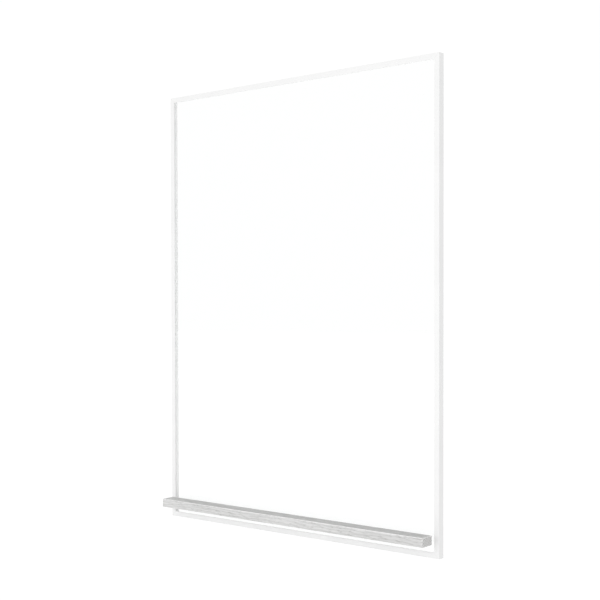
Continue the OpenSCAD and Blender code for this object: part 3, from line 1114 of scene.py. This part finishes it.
def hex_socket(face, depth, across, rim, drill_point=0.35, floor_step=0.05, sink=0.15):
    """Rings from the centre of a hexagonal socket's floor, up its walls and out at its rim."""
    bottom = face - depth
    hexagon = hexagon_reach(across * MM)
    # The drill that starts a socket is a little smaller than its hexagon
    drill = 0.42 * across
    return [
        round_ring(bottom - drill_point, TIP), round_ring(bottom - floor_step, drill),
        (bottom * MM, hexagon), ((face - sink) * MM, hexagon), round_ring(face, rim),
    ]


print("threads have", RINGS_PER_TURN, "rings to a turn")

# %% Cut the screws
DOME_STEPS = 8
SCREW_SEGMENTS = 36
GRUB_SEGMENTS = 24


def button_dome(head, height, rim, lip=0.12, least_drop=0.02):
    """Rings from the socket's rim down to the edge of a button head, which is part of a ball."""
    ball = (head ** 2 + height ** 2) / (2 * height)
    rings = []
    for step in range(1, DOME_STEPS + 1):
        radius = rim + (head - lip - rim) * step / DOME_STEPS
        along = height - ball + math.sqrt(ball ** 2 - radius ** 2)
        rings.append(round_ring(min(along, height - least_drop * step), radius))
    return rings


def button_screw(node, across=4.0, socket_depth=2.1, rim=2.45, pitch=1.0, thread_depth=0.58, undercut=0.3):
    """A screw whose head bears at 0 and reaches to +Y, with its thread towards -Y."""
    head, total = size_mm(node)
    height = (small_boxes[node][0][1].y - screw_bearing) / MM
    shank = SCREW_D / 2
    # The head's bevelled edge, its bearing face, and the groove between it and the thread
    under = eased([
        (0.3, head - 0.05), (0, head - 0.3), (0, shank + 0.15), (-undercut, shank - undercut),
    ], 0.1)
    thread = threaded(
        height - total, -2 * undercut, pitch, shank - CREST_PLAY, shank - thread_depth, chamfer_start=True
    )
    rings = hex_socket(height, socket_depth, across, rim) + button_dome(head, height, rim)
    return turned_mesh(node + "_blank", rings + under + thread[::-1], SCREW_SEGMENTS)


def grub_screw(node, across=2.0, socket_depth=2.0, pitch=0.7, thread_depth=0.43, cup=0.5, lead=0.3):
    """A cup-point screw from 0 at its tip to its socket end."""
    radius, length = size_mm(node)
    point = [round_ring(cup, TIP), round_ring(0, radius / 2)]
    thread = threaded(
        lead, length - 0.1, pitch, radius - CREST_PLAY, radius - thread_depth,
        chamfer_start=True, chamfer_end=True,
    )
    socket = hex_socket(length, socket_depth, across, 0.66 * across)
    return turned_mesh(node + "_blank", point + thread + socket[::-1], GRUB_SEGMENTS)


blanks["ledge_screws"] = button_screw("ledge_screws")
blanks["corner_screws"] = grub_screw("corner_screws")
blanks["block_screws"] = grub_screw("block_screws")
print("screws:", {node: len(blanks[node].data.polygons) for node in SMALL_PARTS[5:]})

# %% Cut the inserts
INSERT_SEGMENTS = 48


def threaded_insert(node, flange=1.2, body=4.5, pitch=2.4, thread_depth=0.7, runout=0.3):
    """A bush for timber with a coarse thread outside and a fine one inside, from 0 to its flange."""
    radius, length = size_mm(node)
    neck = length - flange
    outside = threaded(
        0.0, neck - runout, pitch, body - CREST_PLAY, body - thread_depth, chamfer_start=True
    )
    head = eased([(neck - 0.2, body - 0.3), (neck, radius), (length, radius), (length, BORE + 0.3)], 0.2)
    # The inner thread stands just clear of the screw that runs in it
    inside = threaded(runout, length - runout, 1.0, SCREW_D / 2 + 0.35, SCREW_D / 2 + 0.06)
    return turned_mesh(node + "_blank", outside + head + inside[::-1], INSERT_SEGMENTS, True)


blanks["ledge_inserts"] = threaded_insert("ledge_inserts")
print("inserts:", len(blanks["ledge_inserts"].data.polygons), "faces each")

# %% [markdown]
# ## Stamp the copies
#
# One blank of each kind is copied to every place by Geometry Nodes. The tree takes a mesh whose
# points are the places, puts an instance of the blank on each and turns it about its axis by its
# own amount, because no two screws stop at the same angle. Before that, each point of the blank
# remembers its own place as an attribute, which the tool rings read. The tree ends by making the
# instances real and giving them their finish, so that the result is one plain mesh.

# %% Build the stamping tree
STAMP_INPUTS = {
    "Places": "NodeSocketGeometry", "Blank": "NodeSocketObject", "Finish": "NodeSocketMaterial",
    "Most Turn": "NodeSocketFloat", "Seed": "NodeSocketInt",
}


def stamping_tree():
    """Copies a blank to every point, each turned about Y. Returns the tree and its inputs' names."""
    tree = bpy.data.node_groups.new("stamp_small_parts", "GeometryNodeTree")
    identifiers = {}
    for name, kind in STAMP_INPUTS.items():
        socket = tree.interface.new_socket(name, in_out="INPUT", socket_type=kind)
        identifiers[name] = socket.identifier
    tree.interface.new_socket("Copies", in_out="OUTPUT", socket_type="NodeSocketGeometry")
    group_in, group_out = place(tree, "NodeGroupInput"), place(tree, "NodeGroupOutput")
    blank = place(tree, "GeometryNodeObjectInfo")
    own_place = place(tree, "GeometryNodeInputPosition")
    remember = place(tree, "GeometryNodeStoreNamedAttribute", {"data_type": "FLOAT_VECTOR"}, Name=OWN_PLACE)
    turn = place(tree, "FunctionNodeRandomValue")
    euler = place(tree, "ShaderNodeCombineXYZ")
    stamp = place(tree, "GeometryNodeInstanceOnPoints")
    real = place(tree, "GeometryNodeRealizeInstances")
    finish = place(tree, "GeometryNodeSetMaterial")
    # The Random Value node keeps one set of sockets for each kind of number, floats second
    wire(tree, (
        (group_in, "Blank", blank, "Object"), (blank, "Geometry", remember, "Geometry"),
        (own_place, "Position", remember, "Value"), (group_in, "Places", stamp, "Points"),
        (remember, "Geometry", stamp, "Instance"), (group_in, "Most Turn", turn, 3),
        (group_in, "Seed", turn, "Seed"), (turn, 1, euler, "Y"), (euler, "Vector", stamp, "Rotation"),
        (stamp, "Instances", real, "Geometry"), (real, "Geometry", finish, "Geometry"),
        (group_in, "Finish", finish, "Material"), (finish, "Geometry", group_out, "Copies"),
    ))
    return tree, identifiers


stamping, stamp_identifiers = stamping_tree()
print("inputs:", stamp_identifiers)

# %% Stamp each kind of small part


def stamped(name, node, finish, places, seed):
    """One plain mesh with a copy of the node's blank at each place."""
    points = bpy.data.meshes.new(name + "_places")
    points.from_pydata(places, [], [])
    holder = bpy.data.objects.new(name + "_places", points)
    scene.collection.objects.link(holder)
    scene.collection.objects.link(blanks[node])
    modifier = holder.modifiers.new("stamp", "NODES")
    modifier.node_group = stamping
    modifier[stamp_identifiers["Blank"]] = blanks[node]
    modifier[stamp_identifiers["Finish"]] = finish
    modifier[stamp_identifiers["Most Turn"]] = math.tau
    modifier[stamp_identifiers["Seed"]] = seed
    mesh = plain_mesh(holder)
    mesh.name = name
    piece = bpy.data.objects.new(name, mesh)
    scene.collection.objects.link(piece)
    bpy.data.objects.remove(holder)
    bpy.data.objects.remove(blanks.pop(node))
    return piece


def axis_places(node, along=None):
    """A place on each small part's axis: at its low end, or at a given distance along Y."""
    places = []
    for low, high in small_boxes[node]:
        middle = (low + high) / 2
        places.append((middle.x, low.y if along is None else along, middle.z))
    return places


# Each new piece: the node it stands for, its finish and the slot of that finish in the record
STAMPED = {
    "turned_spacers": ("ledge_spacers", turned_alloy, "turned_alloy"),
    "front_soft_washers": ("front_washers", pale_rubber, "soft_washer"),
    "rear_soft_washers": ("rear_washers", pale_rubber, "soft_washer"),
    "steel_washers": ("cover_washers", stainless, "stainless"),
    "brass_inserts": ("ledge_inserts", brass, "insert_brass"),
    "button_screws": ("ledge_screws", stainless, "stainless"),
    "corner_grub_screws": ("corner_screws", grub_steel, "grub_steel"),
    "block_grub_screws": ("block_screws", grub_steel, "grub_steel"),
}

for seed, (name, (node, finish, record_slot)) in enumerate(STAMPED.items()):
    along = screw_bearing if node == "ledge_screws" else None
    piece = stamped(name, node, finish, axis_places(node, along), seed)
    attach(piece, "root")
    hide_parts(node)
    print(name, "x", len(small_boxes[node]), ":", len(piece.data.polygons), "faces")
